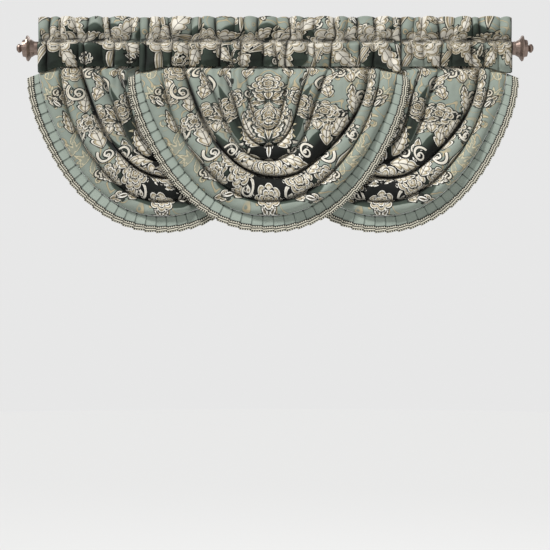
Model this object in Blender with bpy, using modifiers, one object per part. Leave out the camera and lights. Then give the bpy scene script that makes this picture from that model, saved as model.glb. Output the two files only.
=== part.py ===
"""Three waterfall valances gathered on one curtain rod.

Frame: metres, +X to the right, +Y towards the wall, +Z up. The origin is the
middle of the rod, on its axis. Each valance is a gathered heading that the rod
runs through, a swag of nested U-shaped folds, a knife-pleated ruffle round the
swag's edge and a flat braid sewn along the ruffle.
"""
import math

import bmesh
import bpy
import numpy as np
from mathutils import Vector

# Rod and finials
ROD_DIAMETER = 0.044
ROD_LENGTH = 1.832
ROD_SIDES = 32
ROD_SHARP_ANGLE = 40
FINIAL_STEPS = 20
FINIAL_WELD = 0.0001
SEAT_GAP = 0.0003

# Finial outline from its tip to the rod: distance from the rod's end, radius
FINIAL_PROFILE = (
    (0.0830, 0.0000),
    (0.0815, 0.0085),
    (0.0760, 0.0160),
    (0.0700, 0.0175),
    (0.0640, 0.0120),
    (0.0600, 0.0150),
    (0.0575, 0.0320),
    (0.0450, 0.0350),
    (0.0420, 0.0490),
    (0.0370, 0.0500),
    (0.0270, 0.0350),
    (0.0120, 0.0265),
    (0.0000, 0.0260),
    (0.0000, 0.0000),
)

# The row: the middle valance hangs in front of the two at its sides
VALANCE_X = {"left": -0.436, "centre": -0.024, "right": 0.408}
SIDE_OF = {"left": -1, "centre": 0, "right": 1}

# Heading: sheet thickness, the level of its hem, and how far the ends of the hem droop
CLOTH = 0.0020
CLOTH_WELD = 0.00001
HEM_Z = -0.072
HEM_DROOP = 0.023
DROOP_FROM = 0.80
HEADING_EDGES = (-0.9140, -0.5220, 0.4850, 0.9140)
HEADING_GAP = 0.0030

# Widths of the gathers along each heading, left to right, in units of 1 mm
GATHERS = {
    "left": (38, 46, 61, 34, 62, 35, 68, 34),
    "centre": (30, 52, 38, 74, 42, 66, 58, 36, 70, 62, 44, 68, 34, 72, 58, 40, 62, 66, 35),
    "right": (44, 36, 66, 48, 72, 38, 62, 50),
}
GATHER_STEPS = (0.0, 0.30, 0.70)
CREST_POWER = 1.3
CREST_MOST = 1.2

# Heading section from the front hem over the top fold to the back hem:
# station, height, depth at a crease, depth at a crest, rise of a crest
HEADING_SECTION = (
    ("front hem", -0.0720, -0.0080, -0.0180, 0.000),
    ("front low", -0.0450, -0.0170, -0.0360, 0.000),
    ("front belly", 0.0070, -0.0260, -0.0460, 0.000),
    ("front stitches", 0.0330, -0.0024, -0.0060, 0.000),
    ("front ruffle", 0.0740, -0.0050, -0.0290, 0.001),
    ("front fold", 0.1160, -0.0045, -0.0150, 0.005),
    ("back fold", 0.1160, 0.0025, -0.0010, 0.005),
    ("back ruffle", 0.0740, 0.0060, 0.0030, 0.001),
    ("back stitches", 0.0330, 0.0024, 0.0036, 0.000),
    ("back belly", 0.0070, 0.0255, 0.0310, 0.000),
    ("back low", -0.0450, 0.0150, 0.0200, 0.000),
    ("back hem", -0.0720, 0.0048, 0.0080, 0.000),
)

# Swag: half its width at the seam, its drop there, and the shape of its U lines, whose
# powers of the distance across and of the distance down go from the core to the edge
SWAG_HALF_WIDTH = {"left": 0.472, "centre": 0.493, "right": 0.485}
SWAG_TOP_Z = -0.066
SWAG_DROP = 0.582
CORE_DROP_SHARE = 0.28
ACROSS_POWERS = (2.10, 2.15)
DOWN_POWERS = (1.05, 1.48)
ARM_STEPS = 13

# Folds from the core to the edge. The line of each crease is given by its share of
# the swag's width at the left seam, at the bottom and at the right seam. The ridge
# outside it stands forward by the three heights. Steps are the strips to the next.
FOLDS = (
    # name, left, bottom, right, ridge left, ridge bottom, ridge right, steps
    ("core", 0.00, 0.00, 0.00, 0.010, 0.012, 0.012, 2),
    ("inner", 0.20, 0.22, 0.17, 0.020, 0.024, 0.020, 2),
    ("second", 0.36, 0.36, 0.31, 0.022, 0.030, 0.022, 2),
    ("third", 0.50, 0.49, 0.45, 0.028, 0.036, 0.016, 2),
    ("main", 0.65, 0.64, 0.80, 0.032, 0.042, 0.018, 3),
    ("lower", 0.84, 0.87, 0.88, 0.022, 0.034, 0.022, 2),
    ("edge", 1.00, 1.00, 1.00, 0.000, 0.000, 0.000, 0),
)
RIDGE_LEAN = 1.25
RIDGE_ROUND = 0.60

# Ridges begin a little below the hem and rise from there. How early on an arm, from the
# bottom, a crease's share and a ridge's height reach what they are at the seam
RIDGE_START = 0.008
RIDGE_RISE = 0.022
SHARE_EASE = 1.15
RIDGE_EASE = 1.3

# How far the crease lines wander, in shares of the width, and how much the ridges' heights
# differ along them. Each wave: turns along the line, turns across the folds, bend, start, part
CREASE_WANDER = 0.024
RIDGE_VARIATION = 0.34
UNEVEN_WAVES = (
    ("broad", 5.1, 3.7, 2.3, 0.6, 0.6),
    ("fine", 9.7, 6.1, 1.9, 2.2, 0.4),
)

# Depth of the layers behind the hem seam and below it, and how far the hem covers them
HEM_TUCK = 0.002
SEAM_Y = {"left": -0.0050, "centre": -0.0050, "right": -0.0050}
TUCKED_SEAM_Y = {"left": 0.0012, "centre": -0.0050, "right": -0.0022}
BELLY = {"left": 0.016, "centre": 0.046, "right": 0.016}
TUCKED_BELLY = {"left": 0.004, "centre": 0.046, "right": 0.020}
BELLY_RISE = 0.040
TUCK_RUN = 0.080
COVER_RUN = 0.036
COVERED_RIDGE = 0.09

# Ruffle: knife pleats round the swag's edge
PLEATS = 41
PLEAT_FOLD_AT = 0.86
RUFFLE_DEPTH_BOTTOM = 0.067
RUFFLE_DEPTH_TOP = 0.045
RUFFLE_TAPER = 4
RUFFLE_CLOTH = 0.0015
RUFFLE_SEAM_GAP = 0.0020
RUFFLE_FLARE = 0.004
RUFFLE_START = 0.970
PLEAT_DEPTH_SEAM = 0.0006
PLEAT_DEPTH_EDGE = 0.0018
PLEAT_STAGGER = 0.0045
COVERED_PLEAT = 0.35
RUFFLE_END_DROOP = 0.45
RUFFLE_END_POWER = 10

# Finest steps of the turn along the swag's edge, for equal pleats and for its direction
EDGE_SAMPLES = 801
EDGE_STEP = 0.002

# Braid along the ruffle
BRAID_WIDTH = 0.026
BRAID_THICKNESS = 0.0012
BRAID_STAND = 0.0028

# Colour, roughness and metallic value of each finish
FINISHES = {
    "rod": ((0.30, 0.22, 0.19), 0.38, 0.85),
    "heading": ((0.22, 0.25, 0.21), 0.85, 0.0),
    "swag": ((0.27, 0.31, 0.27), 0.85, 0.0),
    "ruffle": ((0.24, 0.29, 0.25), 0.85, 0.0),
    "braid": ((0.62, 0.59, 0.50), 0.80, 0.0),
}


def clear_scene():
    for item in list(bpy.data.objects):
        bpy.data.objects.remove(item, do_unlink=True)


def make_collection(name):
    collection = bpy.data.collections.new(name)
    bpy.context.scene.collection.children.link(collection)
    return collection


def make_finish(name):
    colour, roughness, metallic = FINISHES[name]
    material = bpy.data.materials.new(name)
    material.use_nodes = True
    shader = material.node_tree.nodes["Principled BSDF"]
    shader.inputs["Base Color"].default_value = (*colour, 1.0)
    shader.inputs["Roughness"].default_value = roughness
    shader.inputs["Metallic"].default_value = metallic
    return material


def smoothstep(value):
    value = min(1.0, max(0.0, value))
    return value * value * (3.0 - 2.0 * value)


def mix(first, second, share):
    return first + (second - first) * share


def settle(distance, run):
    """Share of the way that a layer has swung out at a distance below its seam."""
    return 1.0 - math.exp(-max(0.0, distance) / run)


def finish_object(item, collection, material):
    for other in item.users_collection:
        other.objects.unlink(item)
    collection.objects.link(item)
    item.data.materials.append(material)
    item.data.shade_smooth()


def make_sheet(name, columns, rows, place, thickness, collection, material):
    """A sheet of cloth: a grid whose corners are placed one by one, then thickened."""
    mesh = bpy.data.meshes.new(name)
    grid = bmesh.new()
    bmesh.ops.create_grid(grid, x_segments=columns, y_segments=rows, size=1.0)
    for corner in grid.verts:
        i = round((corner.co.x + 1.0) / 2.0 * columns)
        j = round((corner.co.y + 1.0) / 2.0 * rows)
        corner.co = place(i, j)
    bmesh.ops.remove_doubles(grid, verts=grid.verts, dist=CLOTH_WELD)
    grid.to_mesh(mesh)
    grid.free()
    item = bpy.data.objects.new(name, mesh)
    bpy.context.scene.collection.objects.link(item)
    finish_object(item, collection, material)
    solidify = item.modifiers.new("cloth", "SOLIDIFY")
    solidify.thickness = thickness
    solidify.offset = 0.0
    solidify.use_even_offset = True
    return item


def make_rod(collection, material):
    bpy.ops.mesh.primitive_cylinder_add(
        vertices=ROD_SIDES,
        radius=ROD_DIAMETER / 2,
        depth=ROD_LENGTH,
        rotation=(0.0, math.pi / 2, 0.0),
    )
    rod = bpy.context.object
    rod.name = "rod"
    finish_object(rod, collection, material)
    rod.data.set_sharp_from_angle(angle=math.radians(ROD_SHARP_ANGLE))


def make_finial(side, collection, material):
    """A turned finial: its outline is spun about the rod's axis."""
    name = "finial_left" if side < 0 else "finial_right"
    mesh = bpy.data.meshes.new(name)
    outline = bmesh.new()
    corners = [outline.verts.new((radius, 0.0, along)) for along, radius in FINIAL_PROFILE]
    for first, second in zip(corners, corners[1:]):
        outline.edges.new((first, second))
    outline.to_mesh(mesh)
    outline.free()
    finial = bpy.data.objects.new(name, mesh)
    bpy.context.scene.collection.objects.link(finial)
    finial.location = (side * (ROD_LENGTH / 2 + SEAT_GAP), 0.0, 0.0)
    finial.rotation_euler = (0.0, side * math.pi / 2, 0.0)
    turn = finial.modifiers.new("turned", "SCREW")
    turn.axis = "Z"
    turn.steps = FINIAL_STEPS
    turn.render_steps = FINIAL_STEPS
    turn.use_merge_vertices = True
    turn.merge_threshold = FINIAL_WELD
    finish_object(finial, collection, material)


def droop(which, across):
    """How far the hem droops at a place across a valance, from -1 to 1 of its half width."""
    hidden_end = -SIDE_OF[which]
    if hidden_end and across * hidden_end > 0:
        return 0.0
    return HEM_DROOP * smoothstep((abs(across) - DROOP_FROM) / (1.0 - DROOP_FROM))


def covered(which, x, z):
    """1 where a side valance lies under the middle one, 0 where it hangs clear of it."""
    if which == "centre":
        return 0.0
    half_width = SWAG_HALF_WIDTH["centre"] + RUFFLE_DEPTH_TOP
    drop = SWAG_DROP + RUFFLE_DEPTH_BOTTOM
    across = abs(x - VALANCE_X["centre"]) / half_width
    down = max(0.0, SWAG_TOP_Z - z) / drop
    reach = (across ** ACROSS_POWERS[1] + down ** DOWN_POWERS[1]) ** (1.0 / ACROSS_POWERS[1])
    return 1.0 - smoothstep((reach - 1.0) * half_width / COVER_RUN)


def tucked(which, x):
    """1 where a side valance has slipped behind the middle heading, 0 under its own."""
    side = SIDE_OF[which]
    if side == 0:
        return 0.0
    edge = HEADING_EDGES[1] if side < 0 else HEADING_EDGES[2]
    return smoothstep((-side * (x - edge)) / TUCK_RUN + 1.0)


def layer_depth(which, x, z):
    """Depth of a valance's mean surface."""
    below = HEM_Z - HEM_TUCK - z
    hidden = covered(which, x, z)
    seam = mix(SEAM_Y[which], TUCKED_SEAM_Y[which], tucked(which, x))
    belly = mix(BELLY[which], TUCKED_BELLY[which], hidden)
    return seam - belly * settle(below, BELLY_RISE)


def u_line(which, share, side, turn):
    """A point on the U line at a share of the swag, and its height above the bottom.

    The turn goes from 0 at the bottom to 1 at the seam, on one side of the middle.
    """
    drop = SWAG_DROP * mix(CORE_DROP_SHARE, 1.0, share)
    angle = turn * math.pi / 2
    across = max(0.0, math.sin(angle)) ** (2.0 / mix(*ACROSS_POWERS, share)) * share * side
    down = max(0.0, math.cos(angle)) ** (2.0 / mix(*DOWN_POWERS, share))
    x = VALANCE_X[which] + across * SWAG_HALF_WIDTH[which]
    z = SWAG_TOP_Z - drop * down - droop(which, across) * (1.0 - down)
    return x, z, drop * down


def hem_turn(share):
    """The turn at which a U line comes out from under the heading's hem."""
    drop = SWAG_DROP * mix(CORE_DROP_SHARE, 1.0, share)
    down = (SWAG_TOP_Z - HEM_Z + HEM_TUCK) / drop
    return math.acos(down ** (mix(*DOWN_POWERS, share) / 2.0)) / (math.pi / 2)


def fold_rows():
    """For each row of the swag: the fold that it is on, and its share of the way to the next."""
    rows = []
    for index, fold in enumerate(FOLDS[:-1]):
        steps = fold[7]
        rows += [(index, step / steps) for step in range(steps)]
    rows.append((len(FOLDS) - 2, 1.0))
    return rows


def uneven(along, across):
    """Soft waves between -1 and 1, by which hung cloth differs from even folds."""
    return sum(
        part * math.sin(turns * along + bend * math.sin(turns_across * across + start))
        for _, turns, turns_across, bend, start, part in UNEVEN_WAVES
    )


def swag_point(which, rows, i, j):
    """A corner of the swag's sheet: i runs along a U line, j from the core to the edge."""
    index, part = rows[j]
    _, left, bottom, right, ridge_left, ridge_bottom, ridge_right, _ = FOLDS[index]
    _, next_left, next_bottom, next_right, *_ = FOLDS[index + 1]
    step = i - ARM_STEPS
    side = -1 if step < 0 else 1
    turn = min(1.0, abs(step) / (ARM_STEPS - 1))
    at_seam = mix(left, next_left, part) if side < 0 else mix(right, next_right, part)
    ridge_seam = ridge_left if side < 0 else ridge_right
    share = mix(mix(bottom, next_bottom, part), at_seam, smoothstep(turn * SHARE_EASE))
    share += CREASE_WANDER * math.sin(math.pi * share) * uneven(side * turn, share)
    turn = 1.0 if abs(step) == ARM_STEPS else turn * hem_turn(share)
    x, z, below = u_line(which, share, side, turn)
    round_share = 4.0 * part**RIDGE_LEAN * (1.0 - part**RIDGE_LEAN)
    ridge = mix(ridge_bottom, ridge_seam, smoothstep(turn * RIDGE_EASE))
    ridge *= max(0.0, round_share) ** RIDGE_ROUND * settle(below - RIDGE_START, RIDGE_RISE)
    ridge *= 1.0 + RIDGE_VARIATION * uneven(share, side * turn)
    ridge *= mix(1.0, COVERED_RIDGE, covered(which, x, z))
    return Vector((x, layer_depth(which, x, z) - ridge, z))


def make_swag(which, collection, material):
    rows = fold_rows()
    make_sheet(
        f"swag_{which}",
        2 * ARM_STEPS,
        len(rows) - 1,
        lambda i, j: swag_point(which, rows, i, j),
        CLOTH,
        collection,
        material,
    )


def edge_stations():
    """Turns of the swag's edge, signed, that part it into equal pleats with their folds."""
    turns = np.linspace(-RUFFLE_START, RUFFLE_START, EDGE_SAMPLES)
    points = [u_line("centre", 1.0, math.copysign(1.0, t), abs(t))[:2] for t in turns]
    lengths = np.linalg.norm(np.diff(np.array(points), axis=0), axis=1)
    along = np.concatenate([[0.0], np.cumsum(lengths)]) / lengths.sum()
    wanted = []
    for pleat in range(PLEATS):
        wanted += [pleat / PLEATS, (pleat + PLEAT_FOLD_AT) / PLEATS]
    wanted.append(1.0)
    return [float(t) for t in np.interp(wanted, along, turns)]


def ruffle_frame(which, turn):
    """The swag's edge at a signed turn: its point, and its outward direction."""
    before = turn - EDGE_STEP
    after = turn + EDGE_STEP
    x, z, _ = u_line(which, 1.0, math.copysign(1.0, turn), abs(turn))
    x_in, z_in, _ = u_line(which, 1.0, math.copysign(1.0, before), abs(before))
    x_on, z_on, _ = u_line(which, 1.0, math.copysign(1.0, after), abs(after))
    along = Vector((x_on - x_in, z_on - z_in)).normalized()
    return x, z, Vector((along.y, -along.x))


def ruffle_point(which, stations, i, out, forward):
    """A corner of the ruffle: out is its distance from the swag's edge."""
    turn = stations[i]
    x, z, outward = ruffle_frame(which, turn)
    depth = ruffle_depth(turn)
    share = out / depth
    on_fold = i % 2 == 1
    hidden = mix(1.0, COVERED_PLEAT, covered(which, x, z))
    pleat = mix(PLEAT_DEPTH_SEAM, PLEAT_DEPTH_EDGE, share) * hidden
    reach = out + RUFFLE_SEAM_GAP - (PLEAT_STAGGER * share if on_fold else 0.0)
    end = abs(turn) ** RUFFLE_END_POWER
    x_out = x + outward.x * reach
    z_out = z + outward.y * reach - RUFFLE_END_DROOP * out * end
    y = layer_depth(which, x, z) - RUFFLE_FLARE * share * hidden
    y += -pleat if on_fold else pleat
    return Vector((x_out, y - forward, z_out))


def ruffle_depth(turn):
    return mix(RUFFLE_DEPTH_BOTTOM, RUFFLE_DEPTH_TOP, abs(turn) ** RUFFLE_TAPER)


def make_ruffle(which, collection, material):
    stations = edge_stations()

    def place(i, j):
        depth = ruffle_depth(stations[i])
        out = (0.0, depth - BRAID_WIDTH, depth)[j]
        return ruffle_point(which, stations, i, out, 0.0)

    make_sheet(f"ruffle_{which}", 2 * PLEATS, 2, place, RUFFLE_CLOTH, collection, material)


def make_braid(which, collection, material):
    stations = edge_stations()

    def place(i, j):
        out = ruffle_depth(stations[i]) - BRAID_WIDTH * (1 - j)
        return ruffle_point(which, stations, i, out, BRAID_STAND)

    make_sheet(f"braid_{which}", 2 * PLEATS, 1, place, BRAID_THICKNESS, collection, material)


def gather_columns(which):
    """Places across a heading: distance, and how far the cloth stands out of its crease."""
    first, last = {
        "left": HEADING_EDGES[0:2],
        "centre": HEADING_EDGES[1:3],
        "right": HEADING_EDGES[2:4],
    }[which]
    first += HEADING_GAP / 2
    last -= HEADING_GAP / 2
    widths = GATHERS[which]
    mean = sum(widths) / len(widths)
    columns = []
    start = 0.0
    for width in widths:
        for step in GATHER_STEPS:
            crest = min(CREST_MOST, (width / mean) ** CREST_POWER) if step > 0 else 0.0
            columns.append((start + step * width, crest))
        start += width
    columns.append((start, 0.0))
    return [(mix(first, last, place / start), crest) for place, crest in columns]


def heading_point(which, columns, i, j):
    station, z, crease_y, crest_y, rise = HEADING_SECTION[j]
    x, crest = columns[i]
    y = mix(crease_y, crest_y, crest)
    z += rise * crest
    across = (x - VALANCE_X[which]) / SWAG_HALF_WIDTH[which]
    sag = droop(which, max(-1.0, min(1.0, across))) * smoothstep(z / HEM_Z)
    if station.startswith("front"):
        y -= BELLY[which] * settle(sag, BELLY_RISE) * smoothstep(z / HEM_Z)
    return Vector((x, y, z - sag))


def make_heading(which, collection, material):
    columns = gather_columns(which)
    make_sheet(
        f"heading_{which}",
        len(columns) - 1,
        len(HEADING_SECTION) - 1,
        lambda i, j: heading_point(which, columns, i, j),
        CLOTH,
        collection,
        material,
    )


def build():
    clear_scene()
    collection = make_collection("waterfall_valances")
    finishes = {name: make_finish(name) for name in FINISHES}
    make_rod(collection, finishes["rod"])
    for side in (-1, 1):
        make_finial(side, collection, finishes["rod"])
    for which in SIDE_OF:
        make_heading(which, collection, finishes["heading"])
        make_swag(which, collection, finishes["swag"])
        make_ruffle(which, collection, finishes["ruffle"])
        make_braid(which, collection, finishes["braid"])


build()
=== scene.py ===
import math

import bmesh
import bpy
import numpy as np
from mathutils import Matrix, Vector


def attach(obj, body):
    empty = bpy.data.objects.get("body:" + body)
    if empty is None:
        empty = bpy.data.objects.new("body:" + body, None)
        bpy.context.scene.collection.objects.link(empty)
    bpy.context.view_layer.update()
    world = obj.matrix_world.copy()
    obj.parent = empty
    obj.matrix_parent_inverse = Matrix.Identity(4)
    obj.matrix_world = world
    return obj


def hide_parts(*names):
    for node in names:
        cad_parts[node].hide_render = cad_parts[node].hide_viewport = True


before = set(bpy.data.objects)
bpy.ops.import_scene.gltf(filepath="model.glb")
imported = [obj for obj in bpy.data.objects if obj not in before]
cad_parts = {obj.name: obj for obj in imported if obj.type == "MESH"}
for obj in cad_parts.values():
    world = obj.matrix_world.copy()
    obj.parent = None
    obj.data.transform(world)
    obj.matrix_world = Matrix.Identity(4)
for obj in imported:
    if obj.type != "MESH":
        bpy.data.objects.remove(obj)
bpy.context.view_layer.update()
print("frame loaded")

sides = {"left": -1, "centre": 0, "right": 1}
rowPlan = {  # metres: the valances' middles, their hem, and how far a swag's top is tucked under it
    "centres": {"left": -0.436, "centre": -0.024, "right": 0.408}, "hemZ": -0.072, "hemTuck": 0.002,
}


def smoothStep(value):
    value = np.clip(value, 0.0, 1.0)
    return value * value * (3.0 - 2.0 * value)


def mix(first, second, share):
    return first + (second - first) * share


def settle(distance, run):
    return 1.0 - np.exp(-np.maximum(0.0, distance) / run)


def hump(distance, width):  # 1 at no distance, soon 0 past the width
    return np.exp(-((distance / width) ** 2))


def valanceX(which):
    return rowPlan["centres"][which]


# each wave's turns along, turns across, bend, start and part of the whole
unevenWaves = (("broad", 5.1, 3.7, 2.3, 0.6, 0.6), ("fine", 9.7, 6.1, 1.9, 2.2, 0.4))


def uneven(along, across):  # soft waves between -1 and 1
    return sum(
        part * np.sin(turns * along + bend * np.sin(turnsAcross * across + start))
        for _, turns, turnsAcross, bend, start, part in unevenWaves
    )


# the swag: nested U folds; step is the way along a U line, turn its angle in quarters
swagPlan = {
    "halfWidth": {"left": 0.472, "centre": 0.493, "right": 0.485},
    "topZ": -0.066, "drop": 0.582, "coreDrop": 0.28,
    "acrossPowers": (2.10, 2.15), "downPowers": (1.05, 1.48), "droop": 0.023, "droopFrom": 0.80,
    "cloth": 0.0018, "columns": 300, "rows": 144,
    "lastStep": 0.985, "seamStep": 0.992, "lastFlatTurn": 0.99,
    "shareEase": 1.15, "wander": 0.024,
    "ridgeEase": 1.3, "ridgeLean": 1.25, "ridgeRound": 0.55, "ridgeStart": 0.008, "ridgeRise": 0.022,
    "variation": 0.34, "creaseWidth": 0.085, "troughStart": 0.010, "troughRise": 0.030,
    "hemWrinkle": 0.0035, "hemWrinkleFrom": 0.020, "hemWrinkleRun": 0.045, "hemWrinkleStart": 0.008,
    "hemWrinkleRise": 0.010, "hemWrinkleTurns": 170.0, "hemWrinkleBend": 5.0, "hemWrinkleStretch": (3.0, 0.4),
    "crumple": 0.0016, "crumpleStart": 0.012, "crumpleRise": 0.030, "crumpleStretch": (8.0, 3.0, 9.0),
    # painted shade in the swag's creases: the trough depth at which it is darkest, then the mean, spread,
    # turns, lag and levels of waves that vary its strength
    "darkestTrough": 0.022, "shadowWaves": (0.72, 0.38, 1.6, 0.7, 2.0),
    "bellyRise": 0.040, "tuckRun": 0.080, "coverRun": 0.036, "coveredRidge": 0.09,
    "seamY": -0.0050,
    "tuckedSeamY": {"left": 0.0012, "centre": -0.0050, "right": -0.0022},
    "belly": {"left": 0.016, "centre": 0.046, "right": 0.016},
    "tuckedBelly": {"left": 0.004, "centre": 0.046, "right": 0.020},
}
# each crease line's share at the left seam, the bottom and the right seam, then the
# height of the ridge outside it at the same three places, and the depth of the crease
foldTable = (
    ("core", 0.00, 0.00, 0.00, 0.010, 0.012, 0.012, 0.000),
    ("inner", 0.20, 0.22, 0.17, 0.020, 0.024, 0.020, 0.006),
    ("second", 0.36, 0.36, 0.31, 0.022, 0.030, 0.022, 0.012),
    ("third", 0.50, 0.49, 0.45, 0.028, 0.036, 0.016, 0.009),
    ("main", 0.65, 0.64, 0.80, 0.032, 0.042, 0.018, 0.026),
    ("lower", 0.84, 0.87, 0.88, 0.022, 0.034, 0.022, 0.008),
    ("edge", 1.00, 1.00, 1.00, 0.000, 0.000, 0.000, 0.000),
)
headingEdges = (-0.9140, -0.5220, 0.4850, 0.9140)
headingOrder = {"left": 0, "centre": 1, "right": 2}


def droopAt(which, across):
    hiddenEnd = -sides[which]
    start = swagPlan["droopFrom"]
    sag = swagPlan["droop"] * smoothStep((np.abs(across) - start) / (1.0 - start))
    if hiddenEnd:
        sag = np.where(across * hiddenEnd > 0, 0.0, sag)
    return sag


def coveredAt(which, x, z):  # 1 where the middle valance lies in front, 0 clear of it
    if which == "centre":
        return 0.0 * x
    halfWidth = swagPlan["halfWidth"]["centre"] + ruffleDims["depthTop"]
    drop = swagPlan["drop"] + ruffleDims["depthBottom"]
    across = np.abs(x - valanceX("centre")) / halfWidth
    down = np.maximum(0.0, swagPlan["topZ"] - z) / drop
    powers = (swagPlan["acrossPowers"][1], swagPlan["downPowers"][1])
    reach = (across ** powers[0] + down ** powers[1]) ** (1.0 / powers[0])
    return 1.0 - smoothStep((reach - 1.0) * halfWidth / swagPlan["coverRun"])


def tuckedAt(which, x):  # 1 where a side valance's top runs behind the middle heading
    side = sides[which]
    if side == 0:
        return 0.0 * x
    edge = headingEdges[1] if side < 0 else headingEdges[2]
    return smoothStep((-side * (x - edge)) / swagPlan["tuckRun"] + 1.0)


def layerDepth(which, x, z):
    below = rowPlan["hemZ"] - rowPlan["hemTuck"] - z
    seam = mix(swagPlan["seamY"], swagPlan["tuckedSeamY"][which], tuckedAt(which, x))
    belly = mix(swagPlan["belly"][which], swagPlan["tuckedBelly"][which], coveredAt(which, x, z))
    return seam - belly * settle(below, swagPlan["bellyRise"])


def uLine(which, share, side, turn):  # a point of a U line, and how far it is under the top
    drop = swagPlan["drop"] * mix(swagPlan["coreDrop"], 1.0, share)
    angle = turn * math.pi / 2
    across = np.maximum(0.0, np.sin(angle)) ** (2.0 / mix(*swagPlan["acrossPowers"], share)) * share * side
    down = np.maximum(0.0, np.cos(angle)) ** (2.0 / mix(*swagPlan["downPowers"], share))
    x = valanceX(which) + across * swagPlan["halfWidth"][which]
    z = swagPlan["topZ"] - drop * down - droopAt(which, across) * (1.0 - down)
    return x, z, drop * down


def hemTurn(share):  # the turn at which a U line meets the hem
    drop = swagPlan["drop"] * mix(swagPlan["coreDrop"], 1.0, share)
    down = (swagPlan["topZ"] - rowPlan["hemZ"] + rowPlan["hemTuck"]) / drop
    return np.arccos(down ** (mix(*swagPlan["downPowers"], share) / 2.0)) / (math.pi / 2)


def swagSurface(which, step, row):
    # step runs from -1 to 1 along a U line, row from 0 at the core to 1 at the edge
    plan = swagPlan
    folds = np.array([line[1:] for line in foldTable])
    spot = np.clip(row, 0.0, 1.0) * (len(foldTable) - 1)
    index = np.minimum(spot.astype(int), len(foldTable) - 2)
    part = spot - index
    left, bottom, right = (mix(folds[index, k], folds[index + 1, k], part) for k in range(3))
    heights = [folds[index, 3 + k] for k in range(3)]
    side = np.where(step < 0, -1.0, 1.0)
    turn = np.minimum(1.0, np.abs(step) / plan["lastStep"])
    share = mix(bottom, np.where(step < 0, left, right), smoothStep(turn * plan["shareEase"]))
    share = share + plan["wander"] * np.sin(math.pi * share) * uneven(side * turn, share)
    turn = np.where(np.abs(step) > plan["seamStep"], 1.0, turn * hemTurn(share))
    x, z, below = uLine(which, share, side, turn)
    lean = part ** plan["ridgeLean"]
    seamHeight = np.where(step < 0, heights[0], heights[2])
    ridge = mix(heights[1], seamHeight, smoothStep(turn * plan["ridgeEase"]))
    ridge = ridge * np.maximum(0.0, 4.0 * lean * (1.0 - lean)) ** plan["ridgeRound"]
    ridge = ridge * settle(below - plan["ridgeStart"], plan["ridgeRise"])
    ridge = ridge * (1.0 + plan["variation"] * uneven(share, side * turn))
    covered = coveredAt(which, x, z)
    pressed = mix(1.0, plan["coveredRidge"], covered)
    inner = hump(part, plan["creaseWidth"]) * folds[index, 6]
    outer = hump(1.0 - part, plan["creaseWidth"]) * folds[index + 1, 6]
    trough = (inner + outer) * settle(below - plan["troughStart"], plan["troughRise"]) * (1.0 - covered)
    near = x - valanceX(which)
    stretch, level = plan["hemWrinkleStretch"]
    wrinkle = np.exp(-np.maximum(0.0, below - plan["hemWrinkleFrom"]) / plan["hemWrinkleRun"])
    wrinkle = wrinkle * settle(below - plan["hemWrinkleStart"], plan["hemWrinkleRise"])
    bend = plan["hemWrinkleBend"] * uneven(near * stretch, level)
    wrinkle = plan["hemWrinkle"] * wrinkle * np.sin(plan["hemWrinkleTurns"] * near + bend)
    across, inward, down = plan["crumpleStretch"]
    crumple = plan["crumple"] * uneven(near * across + inward * share, down * below)
    crumple = crumple * settle(below - plan["crumpleStart"], plan["crumpleRise"])
    # painted shade: the last value darkens the creases by the depth of their trough, stronger and weaker along
    # them
    mean, spread, turns, lag, levels = plan["shadowWaves"]
    strength = mean + spread * uneven(side * turn * turns + lag, share * levels)
    y = layerDepth(which, x, z) - ridge * pressed + trough - (wrinkle + crumple) * pressed
    return x, y, z, trough / plan["darkestTrough"] * strength


weldReach = 0.00001  # metres, for the points that meet at the core and the seams


def addThing(name, data):
    thing = bpy.data.objects.new(name, data)
    bpy.context.scene.collection.objects.link(thing)
    return thing


def makeSheet(name, columns, rows, surface, design, cloth, fields=None, weld=False):
    # a flat grid is hung, and its place in the flat cloth becomes the UV map
    steps, levels = np.meshgrid(np.linspace(-1.0, 1.0, columns + 1), np.linspace(0.0, 1.0, rows + 1))
    # the surface's last value is painted shade for its creases (none on the ruffle and braid), kept as the
    # 'crease' attribute
    *hung, crease = surface(steps, levels)
    places = np.stack(hung, axis=-1)
    flat = np.stack(design(places, steps, levels), axis=-1)
    grid = bmesh.new()
    bmesh.ops.create_grid(grid, x_segments=columns, y_segments=rows, size=1.0)
    uvLayer = grid.loops.layers.uv.new("flat")
    values = {"crease": crease, **(fields(flat[..., 0], flat[..., 1]) if fields else {})}
    layers = {key: grid.verts.layers.float.new(key) for key in values}
    spots = {}
    for corner in grid.verts:
        i = round((corner.co.x + 1.0) / 2.0 * columns)
        j = round((corner.co.y + 1.0) / 2.0 * rows)
        spots[corner.index] = (j, i)
        corner.co = places[j, i]
        for key, layer in layers.items():
            corner[layer] = values[key][j, i]
    for face in grid.faces:
        for loop in face.loops:
            loop[uvLayer].uv = flat[spots[loop.vert.index]]
    if weld:
        bmesh.ops.remove_doubles(grid, verts=grid.verts, dist=weldReach)
    mesh = bpy.data.meshes.new(name)
    grid.to_mesh(mesh)
    grid.free()
    mesh.shade_smooth()
    piece = addThing(name, mesh)
    thicken = piece.modifiers.new("cloth", "SOLIDIFY")
    thicken.thickness = cloth
    thicken.offset = 0.0
    return piece


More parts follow.
